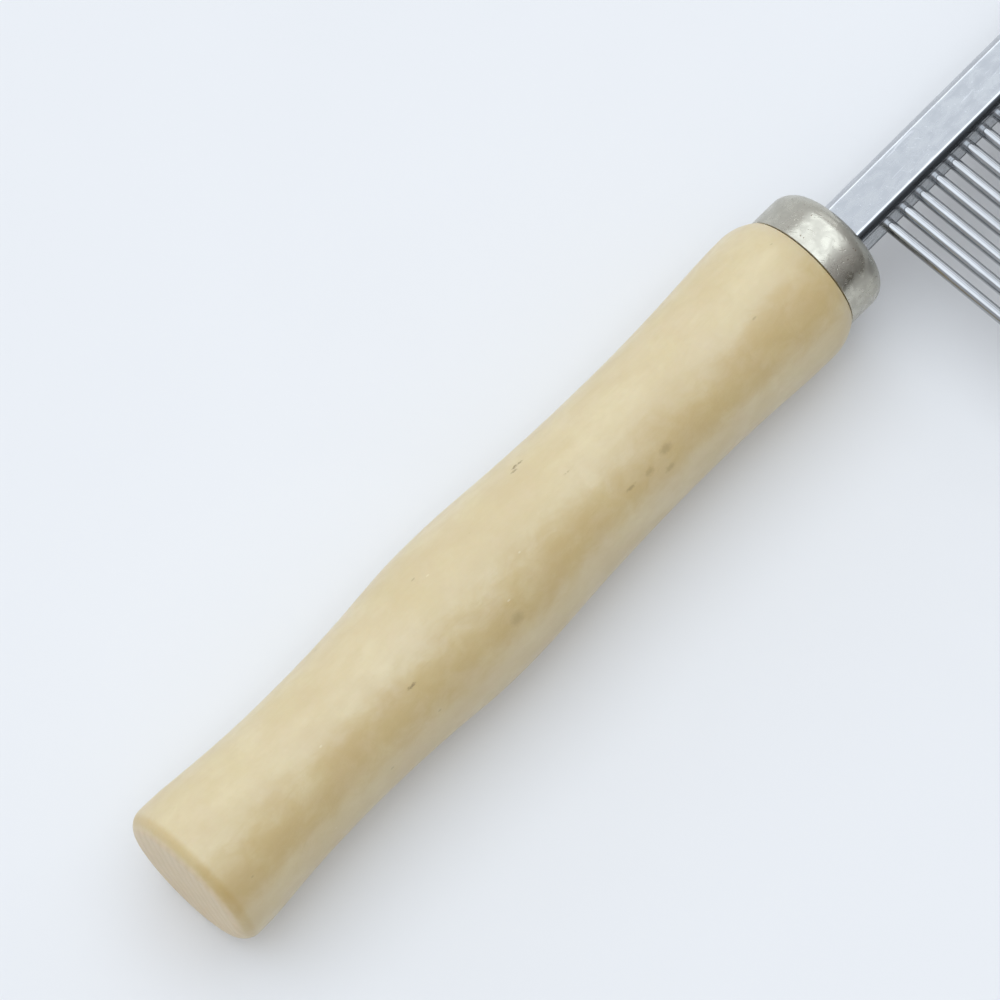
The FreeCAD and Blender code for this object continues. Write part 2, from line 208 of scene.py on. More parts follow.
def add_piece(name, mesh, material, slot, *nodes):
    """A piece that stands for CAD nodes, rides on the comb and wears the given material; the slot is not
    used.
    """
    piece = bpy.data.objects.new(name, mesh)
    bpy.context.scene.collection.objects.link(piece)
    mesh.materials.append(material)
    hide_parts(*nodes)
    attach(piece, "root")
    return piece


def smooth_shading(piece):
    """Smooth normals, with the sharpest edges kept crisp."""
    piece.data.shade_smooth()
    piece.data.set_sharp_from_angle(angle=SHARP_EDGE)


# ---------------------------------------------------------------- material helpers

# Places of the Mix node's colour sockets among its inputs, and of its colour among its outputs.
MIX_SHARE = 0
MIX_FIRST = 6
MIX_SECOND = 7
MIX_RESULT = 2


def add_node(tree, kind, settings=None, **inputs):
    """A shader node with its settings, and its inputs given as values or as other nodes' outputs."""
    made = tree.nodes.new(kind)
    for setting, value in (settings or {}).items():
        setattr(made, setting, value)
    for name, value in inputs.items():
        set_input(tree, find_input(made, name), value)
    return made


def find_input(made, name):
    """A node's input by its place (a_0, a_1 ...) or by its name with _ for spaces."""
    if name.startswith("a_"):
        return made.inputs[int(name[2:])]
    return made.inputs[name.replace("_", " ")]


def set_input(tree, socket, value):
    """Gives an input its value, or joins another node's output to it."""
    if isinstance(value, bpy.types.NodeSocket):
        tree.links.new(value, socket)
    else:
        socket.default_value = value


def set_shader(shader, values):
    """Sets a shader's own constants."""
    for socket, value in values.items():
        shader.inputs[socket].default_value = value


def maths(tree, operation, first, second=0.0):
    """One step of arithmetic."""
    made = add_node(tree, "ShaderNodeMath", {"operation": operation}, a_0=first, a_1=second)
    return made.outputs[0]


def plus(tree, first, second):
    """The sum of two values."""
    return maths(tree, "ADD", first, second)


def minus(tree, first, second):
    """The first value less the second."""
    return maths(tree, "SUBTRACT", first, second)


def times(tree, first, second):
    """The product of two values."""
    return maths(tree, "MULTIPLY", first, second)


def over(tree, first, second):
    """The first value divided by the second."""
    return maths(tree, "DIVIDE", first, second)


def distance_from(tree, value, middle):
    """How far a value is from another one, either way."""
    return maths(tree, "ABSOLUTE", minus(tree, value, middle))


def vector_maths(tree, operation, first, second=(0, 0, 0)):
    """One step of arithmetic on vectors."""
    made = add_node(tree, "ShaderNodeVectorMath", {"operation": operation}, a_0=first, a_1=second)
    gives_number = operation in ("LENGTH", "DISTANCE", "DOT_PRODUCT")
    return made.outputs[1] if gives_number else made.outputs[0]


def split(tree, vector):
    """A vector's X, Y and Z."""
    return add_node(tree, "ShaderNodeSeparateXYZ", Vector=vector).outputs


def joined(tree, along, aside, up=0.0):
    """A vector from its X, Y and Z."""
    return add_node(tree, "ShaderNodeCombineXYZ", X=along, Y=aside, Z=up).outputs[0]


def off_axis(tree, place):
    """A place's part that is square to the comb's axis."""
    parts = split(tree, place)
    return joined(tree, 0.0, parts["Y"], parts["Z"])


def spread(tree, value, low, high, to_low=0.0, to_high=1.0, smooth=True):
    """A value between low and high, spread over another range and held at its ends."""
    made = add_node(
        tree, "ShaderNodeMapRange", {"interpolation_type": "SMOOTHSTEP" if smooth else "LINEAR"},
        Value=value, From_Min=low, From_Max=high, To_Min=to_low, To_Max=to_high,
    )
    return made.outputs["Result"]


def blend_colours(tree, share, first, second, how="MIX"):
    """Two colours blended by a share from 0 to 1."""
    made = tree.nodes.new("ShaderNodeMix")
    made.data_type = "RGBA"
    made.blend_type = how
    made.clamp_factor = True
    for index, value in ((MIX_SHARE, share), (MIX_FIRST, first), (MIX_SECOND, second)):
        set_input(tree, made.inputs[index], value)
    return made.outputs[MIX_RESULT]


def tint(tree, colour, mask, strength, other, how="MIX"):
    """A colour blended towards another by a mask, by no more than a strength."""
    return blend_colours(tree, times(tree, mask, strength), colour, other, how)


def noise_value(tree, place, scale, detail=2.0, roughness=0.5, distortion=0.0):
    """Soft random values that change over a place."""
    made = add_node(
        tree, "ShaderNodeTexNoise",
        Vector=place, Scale=scale, Detail=detail, Roughness=roughness, Distortion=distortion,
    )
    return made.outputs["Fac"]


def noise_shift(tree, place, scale, detail):
    """Soft random vectors about nothing, which change over a place."""
    made = add_node(tree, "ShaderNodeTexNoise", Vector=place, Scale=scale, Detail=detail)
    return vector_maths(tree, "SUBTRACT", made.outputs["Color"], (0.5, 0.5, 0.5))


def place_in_mm(tree):
    """The place on the piece in the comb's own frame, in millimetres."""
    where = tree.nodes.new("ShaderNodeTexCoord").outputs["Object"]
    per_metre = (1 / MM,) * 3
    return vector_maths(tree, "MULTIPLY", where, per_metre)


def new_group(name, inputs):
    """An empty node group with named inputs, each (name, kind, value), that puts out one mask."""
    group = bpy.data.node_groups.new(name, "ShaderNodeTree")
    for label, kind, value in inputs:
        socket = group.interface.new_socket(label, in_out="INPUT", socket_type="NodeSocket" + kind)
        if value is not None:
            socket.default_value = value
    group.interface.new_socket("Mask", in_out="OUTPUT", socket_type="NodeSocketFloat")
    entry = group.nodes.new("NodeGroupInput")
    leave = group.nodes.new("NodeGroupOutput")
    return group, entry.outputs, leave.inputs["Mask"]


def use_group(tree, group, place, **inputs):
    """Places a node group in a material with its own values, and gives its mask."""
    made = tree.nodes.new("ShaderNodeGroup")
    made.node_tree = group
    for name, value in inputs.items():
        set_input(tree, made.inputs[name.replace("_", " ")], value)
    tree.links.new(place, made.inputs["Place"])
    return made.outputs["Mask"]


def new_material(name):
    """A material with its Principled shader, ready for its nodes."""
    material = bpy.data.materials.new(name)
    material.use_nodes = True
    tree = material.node_tree
    return material, tree, tree.nodes["Principled BSDF"]


def link(tree, value, shader, socket):
    """Joins a value to one of the shader's sockets."""
    tree.links.new(value, shader.inputs[socket])


def bump(tree, height, depth_mm):
    """Normals of a height from 0 to 1 that is depth_mm deep."""
    made = add_node(tree, "ShaderNodeBump", Strength=1.0, Distance=depth_mm * MM, Height=height)
    return made.outputs["Normal"]


# ---------------------------------------------------------------- effects shared by the materials

CLOUD_NOISE = dict(detail=3.0, roughness=0.55, distortion=0.4)
CLOUD_FROM = 0.3              # the noise that counts as no cloud
CLOUD_TO = 0.7                # the noise that counts as full cloud

SPECK_WOBBLE = 3.0            # waves in a stretched millimetre along a speck's ragged edge
SPECK_DETAIL = 2.0
SPECK_FULL = 0.5              # share of its reach where a speck is at full strength

SCRATCH_FULL = 0.3            # share of its half width where a scratch is at full strength
BREAK_SCALE = 2.3             # how much closer the breaks lie than the scratches wander
BREAK_FROM = 0.5
BREAK_TO = 0.6


def make_cloud():
    """Soft clouding: broad patches with finer ones inside them. Sizes are in millimetres."""
    group, given, mask = new_group(
        "cloud",
        [("Place", "Vector", None), ("Patch size", "Float", 8.0), ("Stretch", "Vector", (1, 1, 1))],
    )
    stretched = vector_maths(group, "DIVIDE", given["Place"], given["Stretch"])
    scale = over(group, 1.0, given["Patch size"])
    broad = noise_value(group, stretched, scale, **CLOUD_NOISE)
    group.links.new(spread(group, broad, CLOUD_FROM, CLOUD_TO), mask)
    return group


def make_specks():
    """Small scattered specks: a share of the cells holds one each. Sizes are in millimetres."""
    group, given, mask = new_group(
        "specks",
        [
            ("Place", "Vector", None), ("Spacing", "Float", 1.0), ("Speck size", "Float", 0.1),
            ("Share", "Float", 0.3), ("Stretch", "Vector", (1, 1, 1)),
        ],
    )
    stretched = vector_maths(group, "DIVIDE", given["Place"], given["Stretch"])
    shift = noise_shift(group, stretched, SPECK_WOBBLE, SPECK_DETAIL)
    ragged = add_node(
        group, "ShaderNodeVectorMath", {"operation": "SCALE"}, a_0=shift, Scale=given["Speck size"],
    )
    moved = vector_maths(group, "ADD", stretched, ragged.outputs[0])
    scale = over(group, 1.0, given["Spacing"])
    cells = add_node(group, "ShaderNodeTexVoronoi", Vector=moved, Scale=scale)
    reach = times(group, cells.outputs["Distance"], given["Spacing"])
    spot = spread(group, over(group, reach, given["Speck size"]), 1.0, SPECK_FULL)
    chosen = add_node(group, "ShaderNodeSeparateColor", Color=cells.outputs["Color"])
    kept = maths(group, "LESS_THAN", chosen.outputs["Red"], given["Share"])
    group.links.new(times(group, spot, kept), mask)
    return group


def make_scratches():
    """Hair scratches: thin broken lines along the place's first direction. Sizes are in millimetres."""
    group, given, mask = new_group(
        "scratches",
        [
            ("Place", "Vector", None), ("Turn", "Float", 0.0), ("Spacing", "Float", 1.0),
            ("Length", "Float", 8.0), ("Width", "Float", 0.02), ("Share", "Float", 0.5),
        ],
    )
    turned = add_node(
        group, "ShaderNodeVectorRotate", {"rotation_type": "Z_AXIS"},
        Vector=given["Place"], Angle=given["Turn"],
    )
    parts = split(group, turned.outputs[0])
    along = over(group, parts["X"], given["Length"])
    across = over(group, parts["Y"], given["Spacing"])
    through = over(group, parts["Z"], given["Spacing"])
    drawn_out = joined(group, along, across, through)
    off_line = distance_from(group, noise_value(group, drawn_out, 1.0, detail=1.0), 0.5)
    thickness = over(group, given["Width"], given["Spacing"])
    line = spread(group, over(group, off_line, thickness), 1.0, SCRATCH_FULL)
    breaks = noise_value(group, drawn_out, BREAK_SCALE, detail=1.0)
    unbroken = plus(group, breaks, minus(group, given["Share"], 0.5))
    kept = spread(group, unbroken, BREAK_FROM, BREAK_TO)
    group.links.new(times(group, line, kept), mask)
    return group


CLOUD = make_cloud()
SPECKS = make_specks()
SCRATCHES = make_scratches()


# ---------------------------------------------------------------- the wood

PALE_WOOD = (0.71, 0.605, 0.375, 1)
DEEP_WOOD = (0.60, 0.475, 0.245, 1)
PINK_WOOD = (0.62, 0.48, 0.31, 1)
END_GRAIN = (0.70, 0.56, 0.36, 1)
FLECK_BROWN = (0.28, 0.20, 0.09, 1)
PALE_FLECK = (0.78, 0.70, 0.50, 1)

# The wood's patterns: sizes and spacings in mm, and how far each is drawn out along the grain.
BROAD_PATCHES = dict(Patch_size=7.0, Stretch=(1.7, 1, 1))
BLOTCHES = dict(Patch_size=2.6, Stretch=(1.4, 1, 1))
MOTTLING = dict(Patch_size=0.8, Stretch=(1.6, 1, 1))
LONG_GRAIN = dict(Patch_size=0.35, Stretch=(26, 1, 1))
PINK_PATCHES = dict(Patch_size=5.0)
PORES = dict(Spacing=1.9, Speck_size=0.17, Share=0.2, Stretch=(2.2, 1, 1))
FLECKS = dict(Spacing=2.3, Speck_size=0.15, Share=0.25, Stretch=(2.0, 1, 1))
PATTERN_SHIFT = (31, 17, 5)   # mm: so that two patterns of one kind don't fall together

# How strongly each pattern tints the wood.
BROAD_TINT = 0.50
PINK_TINT = 0.34
BLOTCH_TINT = 0.30
MOTTLING_TINT = 0.14
LONG_GRAIN_TINT = 0.10
PORE_TINT = 0.32
FLECK_TINT = 0.5
RIM_TINT = 0.8
RING_TINT = 0.4
END_MOTTLING_TINT = 0.4

# The wood's roughness, and what the blotches and the end grain add to it.
WOOD_ROUGHNESS = 0.36
BLOTCH_ROUGHNESS = 0.12
END_ROUGHNESS = 0.2

# What each pattern adds to the wood's relief, and how deep the whole relief is, in mm.
LONG_GRAIN_RELIEF = 0.25
BLOTCH_RELIEF = 0.8
MOTTLING_RELIEF = 0.3
WOOD_RELIEF = 0.03

WAX = {
    "Specular IOR Level": 0.45,
    "Coat Weight": 0.32,
    "Coat Roughness": 0.32,
    "Subsurface Weight": 0.12,
    "Subsurface Radius": (1.0, 0.6, 0.25),
    "Subsurface Scale": 1.2 * MM,
}

# An olive streak of painted shade runs the handle's length on the side that turns from the light:
# where it lies round the handle, in degrees from +Y towards +Z, how far it reaches either way,
# what it takes from the wood's colour, how soft its edge is, and how far the blotches and patches move
# that edge.
STREAK_ANGLE = 128.0
STREAK_REACH = 24.0
STREAK_TINT = (0.91, 0.84, 0.68, 1)
STREAK_SOFTNESS = 0.16
STREAK_BLOTCHES = 0.05
STREAK_PATCHES = 0.04

# Dark marks on the handle: place along it in mm, angle round it in degrees from
# +Y towards +Z, length and width in mm, and how dark it is.
MARKS = [
    (61.0, 53.0, 1.3, 0.26, 1.0),
    (60.2, 56.0, 0.7, 0.22, 0.7),
    (33.0, 120.0, 0.9, 0.22, 0.8),
    (74.3, 129.0, 1.3, 0.8, 0.36),
    (71.1, 133.0, 0.9, 0.6, 0.32),
    (73.4, 143.0, 1.1, 0.5, 0.32),
    (68.1, 131.0, 1.2, 0.3, 0.5),
    (47.5, 138.0, 1.4, 1.1, 0.30),
    (63.7, 89.0, 0.6, 0.2, 0.4),
]
MARK_WOBBLE = 2.6             # waves in a millimetre along a mark's ragged edge
MARK_DETAIL = 3.0
MARK_RAGGEDNESS = (0.7, 0.7, 0.7)
MARK_FULL = 0.2               # share of its reach where a mark is at full strength

# The butt's growth rings, in mm: their heart, how far apart they are and how they waver.
RING_HEART = (0, -19, 8)
RING_SPACING = 1.5
RING_WOBBLE = 1.6
RING_WOBBLE_SCALE = 0.18
RING_FROM = -0.6              # the sine that counts as no ring

# How squarely a face looks along the grain: from 0 for the side to 1 for the butt.
BUTT_FROM = 0.75
BUTT_FULL = 0.97
RIM_FROM = 0.12
RIM_FULL = 0.5
RIM_FADES = 0.65
RIM_ENDS = 0.95


def waxed_wood(radius):
    """Pale turned wood, lightly waxed: soft blotches, faint long grain, pores and a few dark marks."""
    material, tree, shader = new_material("waxed_wood")
    place = place_in_mm(tree)
    elsewhere = vector_maths(tree, "ADD", place, PATTERN_SHIFT)
    broad = use_group(tree, CLOUD, place, **BROAD_PATCHES)
    blotches = use_group(tree, CLOUD, place, **BLOTCHES)
    mottling = use_group(tree, CLOUD, elsewhere, **MOTTLING)
    long_grain = use_group(tree, CLOUD, place, **LONG_GRAIN)
    pink = use_group(tree, CLOUD, elsewhere, **PINK_PATCHES)
    pores = use_group(tree, SPECKS, place, **PORES)
    flecks = use_group(tree, SPECKS, elsewhere, **FLECKS)
    streak = shade_streak_mask(tree, place, blotches, broad)
    marks = marks_mask(tree, place, radius)
    end, rim = end_grain_masks(tree)
    colour = tint(tree, PALE_WOOD, broad, BROAD_TINT, DEEP_WOOD)
    colour = tint(tree, colour, pink, PINK_TINT, PINK_WOOD)
    colour = tint(tree, colour, blotches, BLOTCH_TINT, DEEP_WOOD)
    colour = tint(tree, colour, mottling, MOTTLING_TINT, DEEP_WOOD)
    # painted shade: the olive streak darkens the side that turns from the light
    colour = blend_colours(tree, streak, colour, STREAK_TINT, how="MULTIPLY")
    colour = tint(tree, colour, long_grain, LONG_GRAIN_TINT, DEEP_WOOD)
    colour = tint(tree, colour, pores, PORE_TINT, FLECK_BROWN)
    colour = tint(tree, colour, flecks, FLECK_TINT, PALE_FLECK)
    colour = blend_colours(tree, marks, colour, FLECK_BROWN)
    colour = tint(tree, colour, rim, RIM_TINT, STREAK_TINT, how="MULTIPLY")
    end_colour = tint(tree, END_GRAIN, growth_rings(tree, place), RING_TINT, DEEP_WOOD)
    end_colour = tint(tree, end_colour, mottling, END_MOTTLING_TINT, PINK_WOOD)
    link(tree, blend_colours(tree, end, colour, end_colour), shader, "Base Color")
    rough = plus(tree, WOOD_ROUGHNESS, times(tree, blotches, BLOTCH_ROUGHNESS))
    link(tree, plus(tree, rough, times(tree, end, END_ROUGHNESS)), shader, "Roughness")
    relief = minus(tree, times(tree, long_grain, LONG_GRAIN_RELIEF), plus(tree, pores, marks))
    relief = plus(tree, relief, times(tree, blotches, BLOTCH_RELIEF))
    relief = plus(tree, relief, times(tree, mottling, MOTTLING_RELIEF))
    link(tree, bump(tree, relief, WOOD_RELIEF), shader, "Normal")
    set_shader(shader, WAX)
    return material


def shade_streak_mask(tree, place, blotches, broad):
    """1 along the olive streak of painted shade, with ragged edges that follow the blotches and patches.
    """
    outward = vector_maths(tree, "NORMALIZE", off_axis(tree, place))
    turn = math.radians(STREAK_ANGLE)
    near = vector_maths(tree, "DOT_PRODUCT", outward, (0, math.cos(turn), math.sin(turn)))
    uneven = plus(
        tree, times(tree, blotches, STREAK_BLOTCHES), times(tree, broad, STREAK_PATCHES),
    )
    edge = math.cos(math.radians(STREAK_REACH))
    return spread(tree, plus(tree, near, uneven), edge, edge + STREAK_SOFTNESS)


def marks_mask(tree, place, radius):
    """A mask of the handle's few dark marks, each a ragged streak along the grain."""
    shift = noise_shift(tree, place, MARK_WOBBLE, MARK_DETAIL)
    moved = vector_maths(tree, "ADD", place, vector_maths(tree, "MULTIPLY", shift, MARK_RAGGEDNESS))
    total = None
    for along, angle, length, width, darkness in MARKS:
        turn = math.radians(angle)
        reach = radius(along * MM) / MM
        middle = (along, reach * math.cos(turn), reach * math.sin(turn))
        away = vector_maths(tree, "SUBTRACT", moved, middle)
        shape = vector_maths(tree, "DIVIDE", away, (length, width, width))
        distance = vector_maths(tree, "LENGTH", shape)
        mark = spread(tree, distance, 1.0, MARK_FULL, 0.0, darkness)
        total = mark if total is None else maths(tree, "MAXIMUM", total, mark)
    return total


def growth_rings(tree, place):
    """Growth rings on the butt, curved about a heart that lies outside the handle."""
    from_heart = off_axis(tree, vector_maths(tree, "SUBTRACT", place, RING_HEART))
    wobble = times(tree, noise_value(tree, place, RING_WOBBLE_SCALE), RING_WOBBLE)
    distance = plus(tree, vector_maths(tree, "LENGTH", from_heart), wobble)
    wave = maths(tree, "SINE", times(tree, distance, WHOLE_TURN / RING_SPACING))
    return spread(tree, wave, RING_FROM, 1.0)


def end_grain_masks(tree):
    """1 on a face that looks along the grain, and 1 on the rounded rim round it."""
    facing = tree.nodes.new("ShaderNodeTexCoord").outputs["Normal"]
    squarely = vector_maths(tree, "DOT_PRODUCT", facing, (-1, 0, 0))
    face = spread(tree, squarely, BUTT_FROM, BUTT_FULL)
    rim_starts = spread(tree, squarely, RIM_FROM, RIM_FULL)
    rim_stops = spread(tree, squarely, RIM_FADES, RIM_ENDS, 1.0, 0.0)
    return face, times(tree, rim_starts, rim_stops)


# ---------------------------------------------------------------- the ferrule's nickel

BARE_METAL = {"Metallic": 1.0}

# In every plate below, the first colour and the first roughness are where the clouding is
# thinnest, the second where it is thickest. Sizes, spacings and depths are in mm.
NICKEL_COLOURS = ((0.555, 0.535, 0.455, 1), (0.475, 0.455, 0.39, 1))
NICKEL_PIT_COLOUR = (0.16, 0.10, 0.06, 1)
NICKEL_PIT_TINT = 0.7
NICKEL_ROUGHNESS = (0.22, 0.36)
NICKEL_CLOUDS = dict(Patch_size=1.6)
NICKEL_PITS = dict(Spacing=0.7, Speck_size=0.12, Share=0.35)
NICKEL_SCRATCHES = dict(Turn=1.2, Spacing=0.7, Length=4.0, Width=0.02, Share=0.5)
NICKEL_CLOUD_RELIEF = 0.7
NICKEL_RELIEF = 0.012


def worn_nickel():
    """The ferrule's dull, warm nickel plate: clouded, pitted and scratched."""
    material, tree, shader = new_material("worn_nickel")
    place = place_in_mm(tree)
    clouding = use_group(tree, CLOUD, place, **NICKEL_CLOUDS)
    pits = use_group(tree, SPECKS, place, **NICKEL_PITS)
    scratches = use_group(tree, SCRATCHES, place, **NICKEL_SCRATCHES)
    colour = blend_colours(tree, clouding, *NICKEL_COLOURS)
    colour = tint(tree, colour, pits, NICKEL_PIT_TINT, NICKEL_PIT_COLOUR)
    link(tree, colour, shader, "Base Color")
    link(tree, spread(tree, clouding, 0.0, 1.0, *NICKEL_ROUGHNESS), shader, "Roughness")
    clouds_height = times(tree, clouding, NICKEL_CLOUD_RELIEF)
    relief = minus(tree, clouds_height, plus(tree, pits, scratches))
    link(tree, bump(tree, relief, NICKEL_RELIEF), shader, "Normal")
    set_shader(shader, BARE_METAL)
    return material


# ---------------------------------------------------------------- the bar's plate

# Painted shade and light: the broad faces get a darker plate and the sides a brighter one, which sets
# how bright their reflections look.
BROAD_FACE_COLOURS = ((0.42, 0.43, 0.44, 1), (0.36, 0.37, 0.385, 1))
BAR_SIDE_COLOURS = ((0.62, 0.64, 0.66, 1), (0.55, 0.57, 0.59, 1))
BAR_SPECK_COLOUR = (0.52, 0.53, 0.55, 1)
BAR_SPECK_TINT = 0.6
BAR_SCRATCH_COLOUR = (0.60, 0.61, 0.63, 1)
BAR_SCRATCH_TINT = 0.5
# Painted dark reflection: a near-black plate on the side's rounded corner beside the pins stands for the
# dark room it would reflect.
PAINTED_DARK_REFLECTION = (0.10, 0.11, 0.12, 1)
# Painted highlight: a brighter plate along each edge of the broad faces, where the rounding begins.
EDGE_HIGHLIGHT_COLOUR = (0.62, 0.63, 0.64, 1)
BAR_ROUGHNESS = (0.22, 0.31)
SCRATCHES_ROUGHEN = 0.12
WEAR_POLISHES = 0.08
BAR_CLOUDS = dict(Patch_size=1.1, Stretch=(2, 1, 1))
BAR_SPECKS = dict(Spacing=0.45, Speck_size=0.09, Share=0.4)
SLANTED_SCRATCHES = dict(Turn=0.9, Spacing=0.8, Length=5.0, Width=0.018, Share=0.36)
LENGTHWISE_SCRATCHES = dict(Turn=0.0, Spacing=1.3, Length=14.0, Width=0.03, Share=0.4)
SLANTED_STRENGTH = 0.5
BAR_SPECK_RELIEF = 0.5
BAR_RELIEF = 0.004

BAR_ROUND = 1.1               # how far the bar's corners are rounded
EDGE_LINE = 0.22              # how far past the flat face the painted highlight line lies
EDGE_LINE_FULL = 0.05         # half of the line that is at full strength
EDGE_LINE_ENDS = 0.11         # half of its whole width
FACE_SOFTNESS = 0.04          # half the width of the broad face's edge
CORNER_FROM = 0.05            # where the painted dark reflection begins and is full, past the highlight line
CORNER_FULL = 0.2
CORNER_UP_FROM = 0.5          # and how far up the side, short of the flat's end
CORNER_UP_FULL = 0.15


def dull_plate(half_width):
    """The bar's plate: scratched, specked faces painted darker than the sides, and painted edge
    highlights.
    """
    material, tree, shader = new_material("dull_plate")
    place = place_in_mm(tree)
    clouding = use_group(tree, CLOUD, place, **BAR_CLOUDS)
    specks = use_group(tree, SPECKS, place, **BAR_SPECKS)
    slanted = times(tree, use_group(tree, SCRATCHES, place, **SLANTED_SCRATCHES), SLANTED_STRENGTH)
    lengthwise = use_group(tree, SCRATCHES, place, **LENGTHWISE_SCRATCHES)
    scratches = maths(tree, "MAXIMUM", slanted, lengthwise)
    broad_face, edge_highlight_line, dark_reflection = bar_masks(tree, place, half_width)
    # painted shade on the broad faces, painted light on the sides
    dull = blend_colours(tree, clouding, *BROAD_FACE_COLOURS)
    dull = tint(tree, dull, specks, BAR_SPECK_TINT, BAR_SPECK_COLOUR)
    dull = tint(tree, dull, scratches, BAR_SCRATCH_TINT, BAR_SCRATCH_COLOUR)
    bright = blend_colours(tree, clouding, *BAR_SIDE_COLOURS)
    colour = blend_colours(tree, broad_face, bright, dull)
    # painted dark reflection on the corner beside the pins
    colour = blend_colours(tree, dark_reflection, colour, PAINTED_DARK_REFLECTION)
    # painted highlight lines along the edges
    colour = blend_colours(tree, edge_highlight_line, colour, EDGE_HIGHLIGHT_COLOUR)
    link(tree, colour, shader, "Base Color")
    rough = spread(tree, clouding, 0.0, 1.0, *BAR_ROUGHNESS)
    rough = plus(tree, rough, times(tree, scratches, SCRATCHES_ROUGHEN))
    rough = minus(tree, rough, times(tree, edge_highlight_line, WEAR_POLISHES))
    link(tree, rough, shader, "Roughness")
    relief = minus(tree, times(tree, specks, BAR_SPECK_RELIEF), scratches)
    link(tree, bump(tree, relief, BAR_RELIEF), shader, "Normal")
    set_shader(shader, BARE_METAL)
    return material


def bar_masks(tree, place, half_width):
    """Masks for the bar's broad faces, its painted highlight lines on the edges and the painted dark
    reflection beside the pins.
    """
    parts = split(tree, place)
    aside = maths(tree, "ABSOLUTE", parts["Y"])
    up = maths(tree, "ABSOLUTE", parts["Z"])
    flat = half_width - BAR_ROUND
    line = flat + EDGE_LINE
    broad_face = spread(tree, aside, line - FACE_SOFTNESS, line + FACE_SOFTNESS, 1.0, 0.0)
    off_line = maths(
        tree, "MINIMUM", distance_from(tree, aside, line), distance_from(tree, up, line),
    )
    edge_highlight_line = spread(tree, off_line, EDGE_LINE_FULL, EDGE_LINE_ENDS, 1.0, 0.0)
    # the painted dark reflection lies on the side towards the pins
    towards_pins = times(tree, parts["Y"], -1.0)
    beside = spread(tree, towards_pins, line + CORNER_FROM, line + CORNER_FULL)
    corner = spread(tree, up, flat - CORNER_UP_FROM, flat - CORNER_UP_FULL)
    return broad_face, edge_highlight_line, times(tree, beside, corner)


# ---------------------------------------------------------------- the pins' plate

PIN_COLOURS = ((0.46, 0.47, 0.48, 1), (0.40, 0.41, 0.42, 1))
PIN_SPECK_COLOUR = (0.30, 0.30, 0.31, 1)
PIN_SPECK_TINT = 0.6
PIN_ROUGHNESS = (0.05, 0.09)
PIN_CLOUDS = dict(Patch_size=0.9, Stretch=(1, 6, 1))
PIN_SPECKS = dict(Spacing=0.9, Speck_size=0.10, Share=0.2)
DRAWING_LINES = dict(Turn=WHOLE_TURN / 4, Spacing=0.3, Length=9.0, Width=0.02, Share=0.5)
PIN_RELIEF = -0.003           # the lines and specks lie below the surface


def bright_plate():
    """The pins' bright plate on drawn wire: faint drawing lines and a little clouding."""
    material, tree, shader = new_material("bright_plate")
    place = place_in_mm(tree)
    clouding = use_group(tree, CLOUD, place, **PIN_CLOUDS)
    drawing = use_group(tree, SCRATCHES, place, **DRAWING_LINES)
    specks = use_group(tree, SPECKS, place, **PIN_SPECKS)
    colour = blend_colours(tree, clouding, *PIN_COLOURS)
    colour = tint(tree, colour, specks, PIN_SPECK_TINT, PIN_SPECK_COLOUR)
    link(tree, colour, shader, "Base Color")
    link(tree, spread(tree, clouding, 0.0, 1.0, *PIN_ROUGHNESS), shader, "Roughness")
    link(tree, bump(tree, plus(tree, drawing, specks), PIN_RELIEF), shader, "Normal")
    set_shader(shader, BARE_METAL)
    return material


# ---------------------------------------------------------------- uneven surfaces

# Each wave: how often it repeats in a metre along X, Y and Z, where its noise is read,
# and how much it counts.
SANDING_WAVES = [((70, 60, 60), (0, 0, 0), 0.38), ((260, 180, 180), (7, 3, 5), 0.12)]
PRESSING_WAVES = [((210, 170, 170), (2, 9, 4), 0.4), ((520, 430, 430), (5, 1, 8), 0.14)]
MEAN_UNEVENNESS = 0.5


def worked(points, depth, waves):
    """Moves a ring's points in by up to about a depth, unevenly, as sanding or pressing does."""
    moved = []
    for along, aside, up in points:
        share = MEAN_UNEVENNESS
        for repeats, shift, weight in waves:
            place = Vector((along * repeats[0], aside * repeats[1], up * repeats[2]))
            share += weight * noise.noise(place + Vector(shift))
        taken = depth * max(0, share)
        reach = math.hypot(aside, up)
        shrink = (reach - taken) / reach if reach > taken else 1
        moved.append((along, aside * shrink, up * shrink))
    return moved


# ---------------------------------------------------------------- the handle

POINTS_ROUND_HANDLE = 180
HANDLE_STEP = 0.5 * MM
HAND_TURNING = 0.05 * MM      # how far the sanding strays from the true outline
HANDLE_HOLE_SHARE = 0.35      # reach of the tang's hole against the grip's radius
BUTT_RINGS = (0.05, 0.3, 0.6, 0.85)
TANG_FIT = 0.02 * MM
TANG_CORNER = 0.3 * MM
TANG_ROOT = 3 * MM            # the tang is measured between these places from the hole's mouth
TANG_END = 0.5 * MM           # and over this much of its tip


def handle_profile():
    """The grip's outline from the butt's middle to the shoulder, as (along, radius)."""
    low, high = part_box(HANDLE)
    hole = high.y * HANDLE_HOLE_SHARE
    ferrule_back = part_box(FERRULE)[0].x
    outline = turned_outline(HANDLE, low.x, ferrule_back, hole)
    butt, flat = outline[0]
    face = [(butt, flat * share) for share in BUTT_RINGS]
    path = smooth_path(face + outline, HANDLE_STEP)
    return [(max(along, low.x), reach) for along, reach in path]


def radius_along(profile):
    """A function that gives the outline's radius at a place along it."""
    def radius(place):
        return min(profile, key=lambda point: abs(point[0] - place))[1]
    return radius


